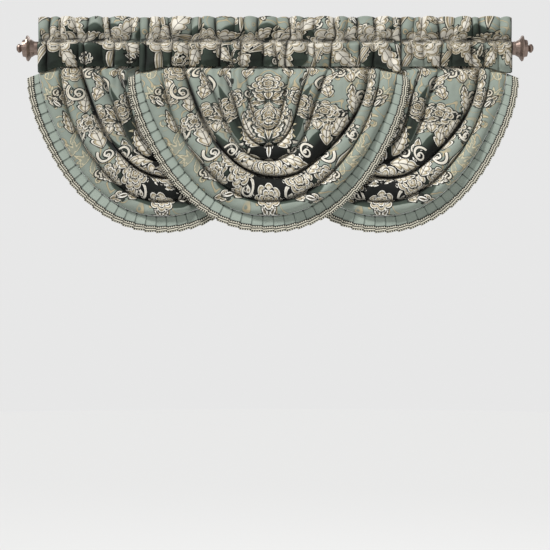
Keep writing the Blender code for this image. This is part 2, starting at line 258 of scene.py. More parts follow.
# the ruffle and its braid
ruffleDims = {
    "pleats": 41, "foldAt": 0.93, "depthBottom": 0.067, "depthTop": 0.045, "taperPower": 4,
    "cloth": 0.0012, "start": 0.970, "seam": 0.0015, "flare": 0.004, "stagger": 0.0050,
    "pleatSeam": 0.0006, "pleatEdge": 0.0020, "coveredPleat": 0.35,
    "endDroop": 0.45, "endPower": 10, "leastShare": -0.2,
    "perPleat": 14, "rows": 8, "edgeSamples": 1601, "evenSamples": 2001, "turnStep": 0.002,
}
braidDims = {
    "width": 0.026, "thickness": 0.0010, "stand": 0.0024, "rows": 12, "perPleat": 20,
    "cords": 4, "cordHeight": 0.0009, "picots": 5, "picotReach": 0.0011, "picotRow": 0.95,
}


def edgeTurns(count):
    # signed turns of the swag's edge, evenly spaced along it
    turns = np.linspace(-ruffleDims["start"], ruffleDims["start"], ruffleDims["edgeSamples"])
    x, z, _ = uLine("centre", 1.0, np.where(turns < 0, -1.0, 1.0), np.abs(turns))
    lengths = np.hypot(np.diff(x), np.diff(z))
    along = np.concatenate([[0.0], np.cumsum(lengths)]) / lengths.sum()
    return np.interp(np.linspace(0.0, 1.0, count), along, turns)


evenTurns = edgeTurns(ruffleDims["evenSamples"])


def turnAt(along):
    return np.interp(along, np.linspace(0.0, 1.0, len(evenTurns)), evenTurns)


def ruffleDepth(turn):
    return mix(ruffleDims["depthBottom"], ruffleDims["depthTop"], np.abs(turn) ** ruffleDims["taperPower"])


def depthAlong(step):
    return ruffleDepth(turnAt((step + 1.0) / 2.0))


def ruffleSurface(which, along, out, forward):
    # along runs from 0 to 1 round the edge, out is the distance from it
    dims = ruffleDims
    turn = turnAt(along)
    near = [turn + d for d in (-dims["turnStep"], 0.0, dims["turnStep"])]
    ends = [uLine(which, 1.0, np.where(spot < 0, -1.0, 1.0), np.abs(spot)) for spot in near]
    alongX, alongZ = ends[2][0] - ends[0][0], ends[2][1] - ends[0][1]
    length = np.hypot(alongX, alongZ)
    outX, outZ = alongZ / length, -alongX / length
    x, z = ends[1][0], ends[1][1]
    share = np.clip(out / ruffleDepth(turn), dims["leastShare"], 1.0)
    phase = (along * dims["pleats"]) % 1.0
    foldAt = dims["foldAt"]
    saw = np.where(phase < foldAt, phase / foldAt, 1.0 - (phase - foldAt) / (1.0 - foldAt))
    hidden = mix(1.0, dims["coveredPleat"], coveredAt(which, x, z))
    pleat = mix(dims["pleatSeam"], dims["pleatEdge"], np.maximum(share, 0.0)) * hidden
    reach = out - dims["stagger"] * np.maximum(share, 0.0) * saw
    droop = dims["endDroop"] * np.maximum(out, 0.0) * np.abs(turn) ** dims["endPower"]
    y = layerDepth(which, x, z) - dims["flare"] * share * hidden
    y = y + pleat * (1.0 - 2.0 * saw) - forward
    return x + outX * reach, y, z + outZ * reach - droop, 0.0 * y


def braidSurface(which, step, row):
    along = (step + 1.0) / 2.0
    out = depthAlong(step) - braidDims["width"] * (1.0 - row)
    beads = np.cos(along * ruffleDims["pleats"] * braidDims["picots"] * 2.0 * math.pi)
    out = out + braidDims["picotReach"] * beads * np.where(row > braidDims["picotRow"], 1.0, 0.0)
    cords = np.abs(np.sin(row * math.pi * braidDims["cords"])) * braidDims["cordHeight"]
    return ruffleSurface(which, along, out, braidDims["stand"] + cords)


# the gathered heading and its rod pocket
headingDims = {
    "gap": 0.0008, "cloth": 0.0018, "perGather": 18, "perStation": 8,
    "widestCrest": 1.2, "crestPower": 1.3, "roundPower": 0.7, "frontLevels": 5.5,
    "shift": 0.016, "shiftTurns": 1.9, "shiftFromZ": 0.020, "shiftRun": 0.030,
    "sway": 0.0035, "swayTurns": 34.0, "swayLag": 2.3,
    "seamSway": 0.0032, "seamTurns": 2.6, "seamRun": 0.018,
    # painted shade on the heading, kept in the 'crease' attribute: in the creases between gathers, along the
    # stitch line and on the upward slope under it
    "creaseWidth": 0.11, "creaseShadeWaves": (0.46, 0.48, 2.4), "creaseShadeDrift": (0.25, 52.0, 1.7),
    "leastCreaseShade": 0.08, "stitchZ": 0.033, "stitchShadeWidth": 0.0042, "stitchShadeWaves": (0.70, 0.30, 2.9),
    "backStitchShade": 0.5, "slopeShadeZ": 0.0265, "slopeShadeRun": 0.012, "slopeShadeWaves": (0.62, 0.24, 4.3),
    "gathers": {
        "left": (38, 46, 61, 34, 62, 35, 68, 34),
        "centre": (30, 52, 38, 74, 42, 66, 58, 36, 70, 62, 44, 68, 34, 72, 58, 40, 62, 66, 35),
        "right": (44, 36, 66, 48, 72, 38, 62, 50),
    },
}
# round the rod: height, depth in a crease and on a crest, and how much a crest is raised
headingSection = (
    ("front hem", -0.0720, -0.0080, -0.0180, 0.000),
    ("front low", -0.0450, -0.0170, -0.0360, 0.000),
    ("front belly", 0.0070, -0.0260, -0.0460, 0.000),
    ("front stitches", 0.0330, -0.0024, -0.0060, 0.000),
    ("front ruffle", 0.0740, -0.0050, -0.0290, 0.001),
    ("front fold", 0.1160, -0.0045, -0.0150, 0.005),
    ("back fold", 0.1160, 0.0025, -0.0010, 0.005),
    ("back ruffle", 0.0740, 0.0060, 0.0030, 0.001),
    ("back stitches", 0.0330, 0.0024, 0.0036, 0.000),
    ("back belly", 0.0070, 0.0255, 0.0310, 0.000),
    ("back low", -0.0450, 0.0150, 0.0200, 0.000),
    ("back hem", -0.0720, 0.0048, 0.0080, 0.000),
)


def headingSurface(which, step, row):
    dims = headingDims
    number = headingOrder[which]
    first = headingEdges[number] + dims["gap"] / 2
    last = headingEdges[number + 1] - dims["gap"] / 2
    widths = np.array(dims["gathers"][which], float)
    starts = np.concatenate([[0.0], np.cumsum(widths)]) / widths.sum()
    spot = (step + 1.0) / 2.0 * len(widths)
    index = np.minimum(spot.astype(int), len(widths) - 1)
    part = spot - index
    wide = widths[index] / widths.mean()
    x = mix(first, last, mix(starts[index], starts[index + 1], part))
    held = np.minimum(1.0, (1.0 - np.abs(step)) * len(widths) / 2.0)
    crest = np.minimum(dims["widestCrest"], wide ** dims["crestPower"])
    crest = crest * np.sin(math.pi * part) ** dims["roundPower"]
    stations = np.array([line[1:] for line in headingSection])
    level = row * (len(headingSection) - 1)
    front = level < dims["frontLevels"]
    spots = np.arange(len(headingSection))
    z, rise = (np.interp(level, spots, stations[:, k]) for k in (0, 3))
    eased = np.floor(level) + smoothStep(level - np.floor(level))
    crease, crown = (np.interp(eased, spots, stations[:, k]) for k in (1, 2))
    y = mix(crease, crown, crest)
    over = smoothStep((z - dims["shiftFromZ"]) / dims["shiftRun"]) - 0.5
    shift = dims["shift"] * np.sin(dims["shiftTurns"] * spot) * over
    x = x + held * (shift + dims["sway"] * np.sin(dims["swayTurns"] * z + dims["swayLag"] * spot))
    z = z + rise * crest
    across = np.clip((x - valanceX(which)) / swagPlan["halfWidth"][which], -1.0, 1.0)
    low = smoothStep(z / rowPlan["hemZ"])
    sag = droopAt(which, across) * low
    y = y - np.where(front, swagPlan["belly"][which] * settle(sag, swagPlan["bellyRise"]) * low, 0.0)
    # painted shade: darker in the creases between gathers, along the stitch line and on the upward slope under
    # it, given as the last value
    mean, spread, turns = dims["creaseShadeWaves"]
    drift, driftTurns, driftLag = dims["creaseShadeDrift"]
    strength = mean + spread * np.sin(turns * np.round(spot) + sides[which])
    strength = np.clip(strength + drift * np.sin(driftTurns * z + driftLag * spot), dims["leastCreaseShade"], 1.0)
    crease = strength * hump(np.minimum(part, 1.0 - part) * wide, dims["creaseWidth"])
    mean, spread, turns = dims["stitchShadeWaves"]
    stitchShade = hump(z - dims["stitchZ"], dims["stitchShadeWidth"]) * np.where(front, 1.0, dims["backStitchShade"])
    stitchShade = stitchShade * (mean + spread * np.sin(turns * spot))
    mean, spread, turns = dims["slopeShadeWaves"]
    slopeShade = hump(z - dims["slopeShadeZ"], dims["slopeShadeRun"]) * (mean + spread * np.sin(turns * spot))
    wander = held * dims["seamSway"] * np.sin(dims["seamTurns"] * spot)
    wander = wander * hump(z - dims["stitchZ"], dims["seamRun"])
    return x, y, z - sag + wander, np.maximum(crease, np.maximum(stitchShade, slopeShade))


# the woven figure: every motif is a field of signed distances in the flat cloth, in metres
farOff = {"cream": 0.05, "vein": 0.02, "rib": 0.02, "tan": 0.05, "dark": 0.05, "shade": 0.0, "tone": 0.5}
motifEdge = {"ring": 0.0045, "soft": 0.006, "scrollSoft": 0.003}  # ring: the ground kept clear round a motif
leafDims = {"widestPower": 0.75, "fullness": 0.9, "lobeLean": 0.8, "lobeFoot": 0.58, "lobePower": 0.7}
flowerDims = {"petalPower": 0.6, "veinReach": 0.8}
scrollDims = {"curl": 1.15, "thinEnd": 0.55, "eye": 1.5}
sprayDims = {"shorter": 0.30, "bend": 0.14, "darker": 0.12}


def blankFields(x):
    return {key: np.full(x.shape, value) for key, value in farOff.items()}


def turned(x, z, place, angle):
    c, s = math.cos(angle), math.sin(angle)
    return (x - place[0]) * c + (z - place[1]) * s, (z - place[1]) * c - (x - place[0]) * s


def weave(fields, layer, distance, vein=farOff["vein"], tone=0.5, soft=motifEdge["soft"], rib=farOff["rib"]):
    fields[layer] = np.minimum(fields[layer], distance)
    if layer == "cream":  # the new form lies over the earlier ones
        inside = distance < motifEdge["ring"]
        shade = np.clip(-distance / soft, 0.0, 1.0)
        for key, value in (("shade", shade), ("tone", tone), ("vein", vein), ("rib", rib)):
            fields[key] = np.where(inside, value, fields[key])
        fields["cream"] = np.where(inside, distance, np.maximum(fields["cream"], -distance - farOff["cream"]))


def leaf(fields, x, z, place, length, width, angle, bend=0.0, lobes=0, layer="cream", tone=0.5):
    a, b = turned(x, z, place, angle)
    share = np.clip(a / length, 0.0, 1.0)
    b = b - bend * length * share ** 2
    half = width * np.sin(math.pi * share ** leafDims["widestPower"]) ** leafDims["fullness"]
    rib = farOff["rib"]
    if lobes:
        swing = np.sin(math.pi * (lobes * share - leafDims["lobeLean"] * np.abs(b) / width))
        half = half * mix(leafDims["lobeFoot"], 1.0, np.abs(swing) ** leafDims["lobePower"])
        rib = swing * length / (math.pi * lobes)
    past = np.maximum(np.maximum(-a, a - length), 0.0)
    wide = np.abs(b) - half
    weave(fields, layer, np.where(past > 0, np.hypot(np.maximum(wide, 0.0), past), wide), b, tone, rib=rib)


def flower(fields, x, z, place, radius, count, angle=0.0, depth=0.35, squash=1.0, layer="cream", tone=0.5):
    a, b = turned(x, z, place, 0.0)
    b = b / squash
    reach = np.hypot(a, b)
    turn = (np.arctan2(b, a) - angle) * count / 2.0
    distance = reach - radius * (1.0 - depth * (1.0 - np.abs(np.sin(turn)) ** flowerDims["petalPower"]))
    weave(fields, layer, distance, reach * np.cos(turn) * flowerDims["veinReach"], tone)


def scroll(fields, x, z, place, radius, laps, width, angle=0.0, hand=1, layer="cream", tone=0.5):
    a, b = turned(x, z, place, angle)
    b = b * hand
    reach = np.hypot(a, b)
    around = np.arctan2(b, a) % (2.0 * math.pi)
    total = 2.0 * math.pi * laps
    best = np.full(x.shape, farOff[layer])
    for lap in range(int(laps) + 1):
        swept = around + 2.0 * math.pi * lap
        ring = radius * np.exp(-scrollDims["curl"] * swept / (2.0 * math.pi))
        thick = width * mix(scrollDims["thinEnd"], 1.0, np.clip(1.0 - swept / total, 0.0, 1.0))
        best = np.minimum(best, np.where(swept <= total, np.abs(reach - ring) - thick, farOff[layer]))
    tip = radius * math.exp(-scrollDims["curl"] * laps)
    eye = np.hypot(a - tip * math.cos(total), b - tip * math.sin(total)) - width * scrollDims["eye"]
    weave(fields, layer, np.minimum(best, eye), tone=tone, soft=motifEdge["scrollSoft"])


def darkPatch(fields, x, z, place, wide, tall, power=1.6, deep=1.0):
    across, up = np.abs((x - place[0]) / wide), np.abs((z - place[1]) / tall)
    reach = (across ** power + up ** power) ** (1.0 / power)
    weave(fields, "dark", (reach - 1.0) * min(wide, tall) * deep)


def spray(fields, x, z, place, length, width, angle, count, spread, lobes=4, tone=0.5, layer="cream"):
    order = sorted(range(count), key=lambda k: -abs(k - (count - 1) / 2))  # the middle leaf lies on top
    for k in order:
        off = (k - (count - 1) / 2) / max(1.0, (count - 1) / 2)
        size = length * (1.0 - sprayDims["shorter"] * abs(off))
        bend, toneHere = sprayDims["bend"] * off, tone - sprayDims["darker"] * abs(off)
        leaf(fields, x, z, place, size, width, angle + off * spread, bend, lobes, layer, toneHere)


# petals from the outside in: share of the radius, count, turn, depth between them, tone added
rosettePetals = (
    ("outer", 1.00, 8, 0.0, 0.28, -0.18), ("middle", 0.68, 7, 0.4, 0.32, 0.12),
    ("heart", 0.36, 5, 0.0, 0.30, -0.25),
)
# length and width for each unit of size, bend, lobes, layer
leafShapes = {
    "leaf": (1.30, 0.30, 0.20, 5, "cream"), "backLeaf": (1.25, 0.27, -0.24, 4, "cream"),
    "blade": (1.20, 0.14, 0.16, 0, "cream"), "tanLeaf": (1.00, 0.16, 0.20, 5, "tan"),
}
# leaf width for each unit of size, leaves, spread, lobes, layer
sprayShapes = {"spray": (0.15, 5, 1.15, 3, "cream"), "tanSpray": (0.12, 5, 1.00, 3, "tan")}
scrollHands = {"scroll": 1, "backScroll": -1}
motifSizes = {
    "rosette": 0.56, "rosetteSquash": 0.85, "scroll": 0.40, "scrollLaps": 1.4, "scrollWidth": 0.055,
    "tanScroll": 0.45, "tanScrollLaps": 1.3, "tanLine": 0.0028, "bud": 0.24, "budHeart": (0.6, 0.10, 0.3),
}


def rosette(fields, x, z, place, radius, angle, tone):
    for _, share, count, turn, depth, lift in rosettePetals:
        petal = (radius * share, count, angle + turn, depth, motifSizes["rosetteSquash"])
        flower(fields, x, z, place, *petal, tone=tone + lift)


def motif(fields, x, z, kind, place, size, angle, tone):
    sizes = motifSizes
    if kind in leafShapes:
        length, width, bend, lobes, layer = leafShapes[kind]
        leaf(fields, x, z, place, length * size, width * size, angle, bend, lobes, layer, tone)
    elif kind in sprayShapes:
        width, count, spread, lobes, layer = sprayShapes[kind]
        spray(fields, x, z, place, size, width * size, angle, count, spread, lobes, tone, layer)
    elif kind in scrollHands:
        radius, laps, width = sizes["scroll"] * size, sizes["scrollLaps"], sizes["scrollWidth"] * size
        scroll(fields, x, z, place, radius, laps, width, angle, scrollHands[kind], tone=tone)
    elif kind == "tanScroll":
        radius = sizes["tanScroll"] * size
        scroll(fields, x, z, place, radius, sizes["tanScrollLaps"], sizes["tanLine"], angle, 1, "tan")
    elif kind == "rosette":
        rosette(fields, x, z, place, sizes["rosette"] * size, angle, tone)
    elif kind == "bud":
        length, width, lift = sizes["budHeart"]
        leaf(fields, x, z, place, size, sizes["bud"] * size, angle, 0.0, 2, tone=tone)
        leaf(fields, x, z, place, length * size, width * size, angle, tone=tone + lift)


# garlands that follow the U lines: share of the width, first turn, number of motifs, size, lean
# from the line, tone at the bottom and at the seam, then the motifs in their order
garlands = (
    ("border vine", 0.935, 0.34, 9, 0.058, 0.50, 0.50, 0.50, ("tanScroll", "tanLeaf", "tanSpray", "tanLeaf")),
    ("border leaves", 0.90, 0.10, 8, 0.066, -0.50, 0.60, 0.35, ("backLeaf", "bud", "scroll", "tanSpray")),
    ("main outer", 0.81, 0.05, 11, 0.086, 0.35, 0.85, 0.45, ("leaf", "scroll", "backLeaf", "rosette", "blade")),
    ("main inner", 0.71, 0.08, 10, 0.084, -0.45, 0.90, 0.48, ("backLeaf", "rosette", "leaf", "backScroll")),
    ("third outer", 0.61, 0.08, 9, 0.074, 0.50, 0.78, 0.40, ("leaf", "scroll", "tanLeaf", "backLeaf")),
    ("third", 0.52, 0.10, 8, 0.080, 0.45, 0.78, 0.45, ("leaf", "bud", "scroll", "leaf", "rosette")),
    ("second", 0.42, 0.10, 7, 0.076, 0.30, 0.80, 0.50, ("backLeaf", "scroll", "leaf", "spray")),
    ("second vine", 0.33, 0.10, 6, 0.066, -0.50, 0.70, 0.45, ("leaf", "tanScroll", "blade", "rosette")),
    ("inner", 0.24, 0.14, 5, 0.066, -0.30, 0.70, 0.55, ("leaf", "tanSpray", "rosette", "bud")),
    ("core", 0.14, 0.20, 5, 0.060, 0.20, 0.65, 0.50, ("leaf", "backLeaf", "scroll")),
)
garlandPlan = {
    "leastTurn": 0.02, "lastTurn": 0.97, "turnStep": 0.01, "backLean": -0.6,
    "spacingWave": (0.30, 2.7, 9.0), "sizeWave": (0.15, 4.1, 5.0),
}
# motifs on the middle line: kind, height, size, angle in quarter turns, tone
middleMotifs = (
    ("spray", -0.585, 0.062, 1.00, 0.95), ("rosette", -0.512, 0.098, 0.75, 0.85),
    ("spray", -0.448, 0.076, 1.00, 0.85), ("rosette", -0.385, 0.108, 0.75, 0.92),
    ("bud", -0.330, 0.080, 1.00, 0.95), ("spray", -0.262, 0.092, 1.00, 0.80),
    ("rosette", -0.180, 0.086, 0.75, 0.70), ("spray", -0.130, 0.084, 1.00, 0.65),
    ("rosette", -0.055, 0.078, 0.75, 0.60),
)
# dark ground in the lower middle: height, half width, half height, power of the outline
swagPatches = ((-0.455, 0.215, 0.092, 1.7), (-0.325, 0.120, 0.060, 1.8))
# dark tongues from the patches: place, length, width, angle, bend
swagTongues = (((0.060, -0.420), 0.36, 0.040, 0.78, 0.10), ((0.050, -0.300), 0.27, 0.020, 1.05, 0.08))


def waveOf(wave, k, share):
    height, turns, lag = wave
    return height * math.sin(turns * k + lag * share)


def swagFigure(x, z):
    fields = blankFields(x)
    across = np.abs(x)  # the figure is mirrored about the middle
    for height, wide, tall, power in swagPatches:
        darkPatch(fields, across, z, (0.0, height), wide, tall, power)
    for place, length, width, angle, bend in swagTongues:
        leaf(fields, across, z, place, length, width, angle, bend, layer="dark")
    plan = garlandPlan
    for _, share, first, count, size, lean, low, high, kinds in garlands:
        for k in range(count):
            step = (k + waveOf(plan["spacingWave"], k, share)) / (count - 1)
            turn = min(plan["lastTurn"], max(plan["leastTurn"], first + (plan["lastTurn"] - first) * step))
            (x0, z0), (x1, z1) = (
                [float(v) for v in uLine("centre", np.array(share), 1.0, np.array(turn + d))[:2]]
                for d in (0.0, plan["turnStep"])
            )
            place = (x0 - valanceX("centre"), z0 - swagPlan["topZ"])
            angle = math.atan2(z1 - z0, x1 - x0) + lean * (1.0 if k % 2 else plan["backLean"])
            scale = size * (1.0 + waveOf(plan["sizeWave"], k, share))
            motif(fields, across, z, kinds[k % len(kinds)], place, scale, angle, low + (high - low) * turn)
    for kind, height, size, quarter, tone in middleMotifs:
        motif(fields, across, z, kind, (0.0, height), size, quarter * math.pi / 2, tone)
    return fields


def swagDesign(places, steps, levels):
    run = np.linalg.norm(np.diff(places, axis=0), axis=-1)
    grown = np.concatenate([np.zeros((1, run.shape[1])), np.cumsum(run, axis=0)])
    turn = np.minimum(1.0, np.abs(steps) / swagPlan["lastStep"]) * swagPlan["lastFlatTurn"]
    turn = np.where(np.abs(steps) > swagPlan["seamStep"], 1.0, turn)
    x, z, _ = uLine("centre", grown / grown[-1], np.where(steps < 0, -1.0, 1.0), turn)
    return x - valanceX("centre"), z - swagPlan["topZ"]


# lines of motifs across each heading: their way up from the front hem, over the top, and their size
headingFigure = {
    "spacing": 0.185, "wander": (0.030, 0.012), "grow": 0.2, "quarterTurn": 1.6,
    "rosette": 0.80, "rosetteTone": 0.10, "seed": 20,
    "rows": (
        ("hem", 0.026, 0.090), ("top", 0.206, 0.095), ("back top", 0.385, 0.100),
        ("back flowers", 0.305, 0.150), ("flowers", 0.118, 0.165),
    ),
    "leaves": ("leaf", "backLeaf", "scroll", "blade", "leaf"),
    "leafFoot": 0.22, "leafSize": 0.62, "leafFade": 0.10,
    "kinds": ("rosette", "leaf", "scroll", "spray", "backLeaf", "bud", "backScroll", "blade"),
    # dark ground: way along from its place, way up, half width, half height
    "patches": ((0.0, 0.035, 0.085, 0.075), (0.07, 0.150, 0.060, 0.050)), "patchPower": 1.5, "patchDeep": 0.30,
    "patchPlaces": {
        "left": (0.10, 0.38, 0.60, 0.92), "centre": (0.04, 0.17, 0.30, 0.43, 0.56, 0.92), "right": (0.55,),
    },
    "tone": {"left": 0.62, "centre": 0.52, "right": 0.30},
}


def headingDesign(places, steps, levels):
    across = np.linalg.norm(np.diff(places, axis=1), axis=-1).mean(axis=0)
    down = np.linalg.norm(np.diff(places, axis=0), axis=-1).mean(axis=1)
    u = np.concatenate([[0.0], np.cumsum(across)])
    v = np.concatenate([[0.0], np.cumsum(down)])
    return np.broadcast_to(u, steps.shape), np.broadcast_to(v[:, None], steps.shape)


def headingWeave(which):
    plan = headingFigure

    def figure(u, v):
        fields = blankFields(u)
        width = float(u.max())
        tone = plan["tone"][which]
        for share in plan["patchPlaces"][which]:
            for along, up, wide, tall in plan["patches"]:
                place = (share * width + along, up)
                darkPatch(fields, u, v, place, wide, tall, plan["patchPower"], plan["patchDeep"])
        chance = np.random.default_rng(plan["seed"] + sides[which])
        count = round(width / plan["spacing"])
        for line, (label, height, size) in enumerate(plan["rows"]):
            leafy = label.endswith("flowers")
            for k in range(count):
                shiftU, shiftV, spin, grow = chance.uniform(-1.0, 1.0, 4)
                along = (k + (0.5 if leafy else 1.0)) * width / count + plan["wander"][0] * shiftU
                up = height + plan["wander"][1] * shiftV
                scale = size * (1.0 + plan["grow"] * grow)
                for turn, kind in enumerate(plan["leaves"] if leafy else ()):
                    angle = spin + turn * 2.0 * math.pi / len(plan["leaves"])
                    reach = plan["leafFoot"] * scale
                    foot = (along + reach * math.cos(angle), up + reach * math.sin(angle))
                    toneHere = tone - plan["leafFade"] * (turn % 3)
                    motif(fields, u, v, kind, foot, plan["leafSize"] * scale, angle, toneHere)
                kind = "rosette" if leafy else plan["kinds"][(k * 3 + line) % len(plan["kinds"])]
                angle, toneHere = spin + plan["quarterTurn"], tone + plan["rosetteTone"]
                motif(fields, u, v, kind, (along, up), plan["rosette"] * scale, angle, toneHere)
        return fields

    return figure


# materials
def tint(colour):  # a colour given as it looks on a screen, 0 to 255, made linear light
    parts = [v / 255 for v in colour]
    return (*(((v + 0.055) / 1.055) ** 2.4 if v > 0.04 else v / 12.92 for v in parts), 1.0)


def newFinish(name, roughness, sheen=0.0, metallic=0.0):
    material = bpy.data.materials.new(name)
    material.use_nodes = True
    shader = material.node_tree.nodes["Principled BSDF"]
    shader.inputs["Roughness"].default_value = roughness
    shader.inputs["Metallic"].default_value = metallic
    shader.inputs["Sheen Weight"].default_value = sheen
    shader.inputs["Specular IOR Level"].default_value = 0.25 if sheen else 0.5
    return material, material.node_tree, shader


def wire(tree, kind, inputs, output=0, **settings):
    node = tree.nodes.new(kind)
    for key, value in settings.items():
        setattr(node, key, value)
    for key, value in inputs.items():
        if isinstance(value, bpy.types.NodeSocket):
            tree.links.new(value, node.inputs[key])
        else:
            node.inputs[key].default_value = value
    return node.outputs[output]


fibreSoft = 0.0004  # how softly a woven line ends, in metres


def sums(tree, operation, first, second=0.0):
    return wire(tree, "ShaderNodeMath", {0: first, 1: second}, operation=operation)


def times(tree, first, second):
    return sums(tree, "MULTIPLY", first, second)


def ramp(tree, value, start, end, low=0.0, high=1.0):
    return wire(tree, "ShaderNodeMapRange", {0: value, 1: start, 2: end, 3: low, 4: high})


def below(tree, value, edge, soft):  # 1 under the edge, 0 over it
    return ramp(tree, value, edge - soft, edge + soft, 1.0, 0.0)


def offFrom(tree, value, middle):
    return sums(tree, "ABSOLUTE", sums(tree, "SUBTRACT", value, middle))


def band(tree, value, middle, half, soft=fibreSoft):  # 1 on a line of the field, 0 off it
    return below(tree, offFrom(tree, value, middle), half, soft)


def dyed(tree, share, first, second):  # the second colour over the first, by its share
    return wire(tree, "ShaderNodeMix", {0: share, 6: first, 7: second}, 2, data_type="RGBA")


def dyedPart(tree, share, part, first, second):
    return dyed(tree, times(tree, share, part), first, second)


def between(tree, share, pair):  # from one named colour to the other
    return dyed(tree, share, tint(pair[0]), tint(pair[1]))


def cloudy(tree, place, scale, fleck, pair):  # slow clouds and fine flecks between two colours
    return between(tree, times(tree, sums(tree, "ADD", grainAt(tree, place, scale, 4.0), fleck), 0.5), pair)


def grainAt(tree, place, scale, detail=2.0):
    return wire(tree, "ShaderNodeTexNoise", {"Vector": place, "Scale": scale, "Detail": detail})


def raised(tree, shader, height, strength, distance):
    bump = wire(tree, "ShaderNodeBump", {"Height": height, "Strength": strength, "Distance": distance})
    tree.links.new(bump, shader.inputs["Normal"])


jacquardLook = {
    "roughness": 0.78, "sheen": 0.06, "faceRough": 0.50, "groundRough": 0.80,
    # how softly each edge ends: dark ground, tan fill, rim, heart and cream
    "darkSoft": 0.0012, "tanSoft": 0.0008, "rimSoft": 0.0006, "heartSoft": 0.0008, "creamSoft": 0.0005,
    "sage": ((156, 165, 155), (120, 130, 120)), "slate": ((60, 71, 62), (12, 15, 12)), "slateDepth": 0.025,
    "tan": ((186, 170, 136), (122, 112, 84)), "cream": ((176, 166, 138), (255, 254, 248)),
    "olive": ((122, 106, 72), (184, 168, 130)), "outline": (10, 11, 8), "vein": (40, 35, 24),
    "reverse": (126, 128, 112), "cloudScale": 7.0, "fleckScale": 900.0, "frayScale": 420.0, "fray": 0.0016,
    # thin winding vines: scale and turns, where they grow, their half width and share, then their edge's
    "vineScale": 17.0, "vineTurns": 16.0, "vineSoft": 0.06, "patchScale": 6.0, "patch": (0.42, 0.52),
    "vine": (0.24, 0.80), "vineEdge": (0.42, 0.40), "vineDark": (70, 74, 62),
    # tan motifs: share of the fill, then place, half width, share and colour of the light and dark lines
    "tanFill": 0.28,
    "tanLines": ((-0.0010, 0.0013, 0.75, (206, 196, 164)), (0.0010, 0.0009, 0.45, (70, 64, 46))),
    # cream motifs: shares of hollow, olive and heart, the rim's width, then the lines' half widths
    "hollow": 0.45, "rim": 0.0050, "inside": 0.80, "heart": 0.50,
    "lineShare": 0.85, "rimLine": 0.0009, "veinWidth": 0.0014, "ribWidth": 0.0012,
    # crease: the painted shade in the folds, where it starts, where it is full, and its darkest share
    "lineIn": 0.0004, "lineOut": 0.0034, "outlineShare": 0.92, "crease": (0.05, 0.85, 0.90),
    "satinEdge": 0.001, "relief": 0.002, "fleckRelief": 0.6, "bump": (0.6, 0.0008),
}


def makeJacquard(name, faded):  # the reverse of the cloth is the face faded
    look = jacquardLook
    material, tree, shader = newFinish(name, look["roughness"], look["sheen"])
    place = wire(tree, "ShaderNodeTexCoord", {}, 3)
    flat = wire(tree, "ShaderNodeUVMap", {}, uv_map="flat")
    field = {key: wire(tree, "ShaderNodeAttribute", {}, 2, attribute_name=key) for key in (*farOff, "crease")}
    fray = times(tree, sums(tree, "SUBTRACT", grainAt(tree, place, look["frayScale"]), 0.5), look["fray"])
    for key in ("cream", "tan", "dark"):
        field[key] = sums(tree, "ADD", field[key], fray)
    fleck = grainAt(tree, place, look["fleckScale"])
    ground = cloudy(tree, place, look["cloudScale"], fleck, look["sage"])
    # thin winding vines fill the ground between the figures
    winding = sums(tree, "SINE", times(tree, grainAt(tree, flat, look["vineScale"], 0.6), look["vineTurns"]))
    patchy = ramp(tree, grainAt(tree, flat, look["patchScale"], 1.0), *look["patch"])
    for (half, share), colour in ((look["vineEdge"], look["vineDark"]), (look["vine"], look["tan"][0])):
        vine = times(tree, band(tree, winding, 0.0, half, look["vineSoft"]), patchy)
        ground = dyedPart(tree, vine, share, ground, tint(colour))
    # dark patches turn from slate at their rim to near black
    night = between(tree, ramp(tree, field["dark"], 0.0, -look["slateDepth"]), look["slate"])
    ground = dyed(tree, below(tree, field["dark"], 0.0, look["darkSoft"]), ground, night)
    tan = between(tree, fleck, look["tan"])
    filled = below(tree, field["tan"], 0.0, look["tanSoft"])
    ground = dyedPart(tree, filled, look["tanFill"], ground, tan)
    for middle, half, share, colour in look["tanLines"]:
        ground = dyedPart(tree, band(tree, field["tan"], middle, half), share, ground, tint(colour))
    # inside its cream rim a motif is olive and tan, with a fine dark line between
    cream = between(tree, field["tone"], look["cream"])
    cream = dyedPart(tree, field["shade"], look["hollow"], cream, tint(look["tan"][0]))
    olive = between(tree, field["tone"], look["olive"])
    inner = below(tree, field["cream"], -look["rim"], look["rimSoft"])
    cream = dyedPart(tree, inner, look["inside"], cream, olive)
    rimLine = band(tree, field["cream"], -look["rim"], look["rimLine"])
    cream = dyedPart(tree, rimLine, look["lineShare"], cream, tint(look["vein"]))
    heart = below(tree, field["cream"], -2.0 * look["rim"], look["heartSoft"])
    cream = dyedPart(tree, heart, look["heart"], cream, tint(look["cream"][1]))
    for key in ("vein", "rib"):
        line = band(tree, field[key], 0.0, look[key + "Width"])
        cream = dyedPart(tree, line, look["lineShare"], cream, tint(look["vein"]))
    figured = dyed(tree, below(tree, field["cream"], 0.0, look["creamSoft"]), ground, cream)
    middle, half = (look["lineOut"] - look["lineIn"]) / 2.0, (look["lineOut"] + look["lineIn"]) / 2.0
    outline = band(tree, field["cream"], middle, half)
    figured = dyedPart(tree, outline, look["outlineShare"], figured, tint(look["outline"]))
    # painted shade: the 'crease' attribute darkens the cloth towards the outline colour in the folds and gather
    # creases
    start, end, deepest = look["crease"]
    figured = dyed(tree, ramp(tree, field["crease"], start, end, 0.0, deepest), figured, tint(look["outline"]))
    if faded:
        figured = dyed(tree, faded, figured, tint(look["reverse"]))
    tree.links.new(figured, shader.inputs["Base Color"])
    edge = look["satinEdge"]
    satin = ramp(tree, field["cream"], edge, -edge, look["groundRough"], look["faceRough"])
    tree.links.new(satin, shader.inputs["Roughness"])
    relief = below(tree, field["cream"], 0.0, look["relief"])
    raised(tree, shader, sums(tree, "ADD", relief, times(tree, fleck, look["fleckRelief"])), *look["bump"])
    return material


